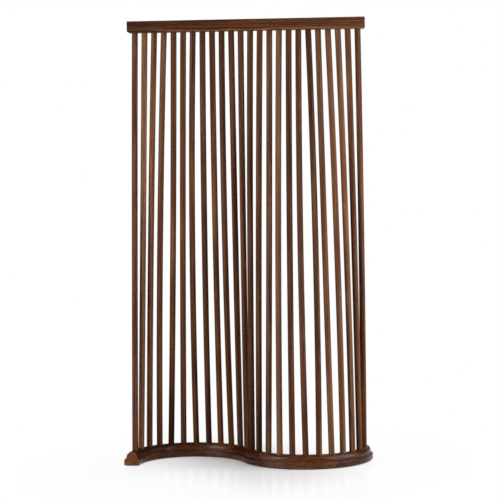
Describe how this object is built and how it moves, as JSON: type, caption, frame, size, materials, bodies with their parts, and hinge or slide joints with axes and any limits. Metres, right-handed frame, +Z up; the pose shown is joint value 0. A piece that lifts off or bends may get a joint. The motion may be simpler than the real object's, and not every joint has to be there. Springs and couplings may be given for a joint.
{
  "type": "slatted room divider",
  "caption": "Free-standing walnut room divider whose round slats turn from a straight top rail down to an S-shaped two-tier base.",
  "frame": {"origin": "on the floor, under the middle of the top rail, which is also the middle of the S", "axes": "+X along the top rail to the right, +Y to the back, +Z up"},
  "size_m": [1.0168, 0.3522, 1.83],
  "materials": {
    "walnut_rail": "satin lacquered walnut, straight grain along the rail",
    "walnut_slats": "satin lacquered walnut dowel, tone varies from slat to slat",
    "walnut_base": "satin lacquered walnut, curved pieces with sloping glue joints",
    "screw_steel": "zinc plated",
    "glide_felt": "dense dark felt"
  },
  "bodies": {
    "root": {"top_rail": "walnut_rail", "slat_01": "walnut_slats", "slat_02": "walnut_slats", "slat_03": "walnut_slats", "slat_04": "walnut_slats", "slat_05": "walnut_slats", "slat_06": "walnut_slats", "slat_07": "walnut_slats", "slat_08": "walnut_slats", "slat_09": "walnut_slats", "slat_10": "walnut_slats", "slat_11": "walnut_slats", "slat_12": "walnut_slats", "slat_13": "walnut_slats", "slat_14": "walnut_slats", "slat_15": "walnut_slats", "slat_16": "walnut_slats", "slat_17": "walnut_slats", "slat_18": "walnut_slats", "slat_19": "walnut_slats", "slat_20": "walnut_slats", "slat_21": "walnut_slats", "slat_22": "walnut_slats", "slat_23": "walnut_slats", "slat_24": "walnut_slats", "half_round_01": "walnut_base", "half_round_02": "walnut_base", "half_round_03": "walnut_base", "half_round_04": "walnut_base", "half_round_05": "walnut_base", "half_round_06": "walnut_base", "half_round_07": "walnut_base", "plinth_01": "walnut_base", "plinth_02": "walnut_base", "plinth_03": "walnut_base", "plinth_04": "walnut_base", "plinth_05": "walnut_base", "plinth_screw_01": "screw_steel", "plinth_screw_02": "screw_steel", "plinth_screw_03": "screw_steel", "plinth_screw_04": "screw_steel", "plinth_screw_05": "screw_steel", "plinth_screw_06": "screw_steel", "plinth_screw_07": "screw_steel", "plinth_screw_08": "screw_steel", "plinth_screw_09": "screw_steel", "plinth_screw_10": "screw_steel", "glide_01": "glide_felt", "glide_02": "glide_felt", "glide_03": "glide_felt", "glide_04": "glide_felt", "glide_05": "glide_felt", "glide_06": "glide_felt", "glide_07": "glide_felt"}
  },
  "joints": []
}
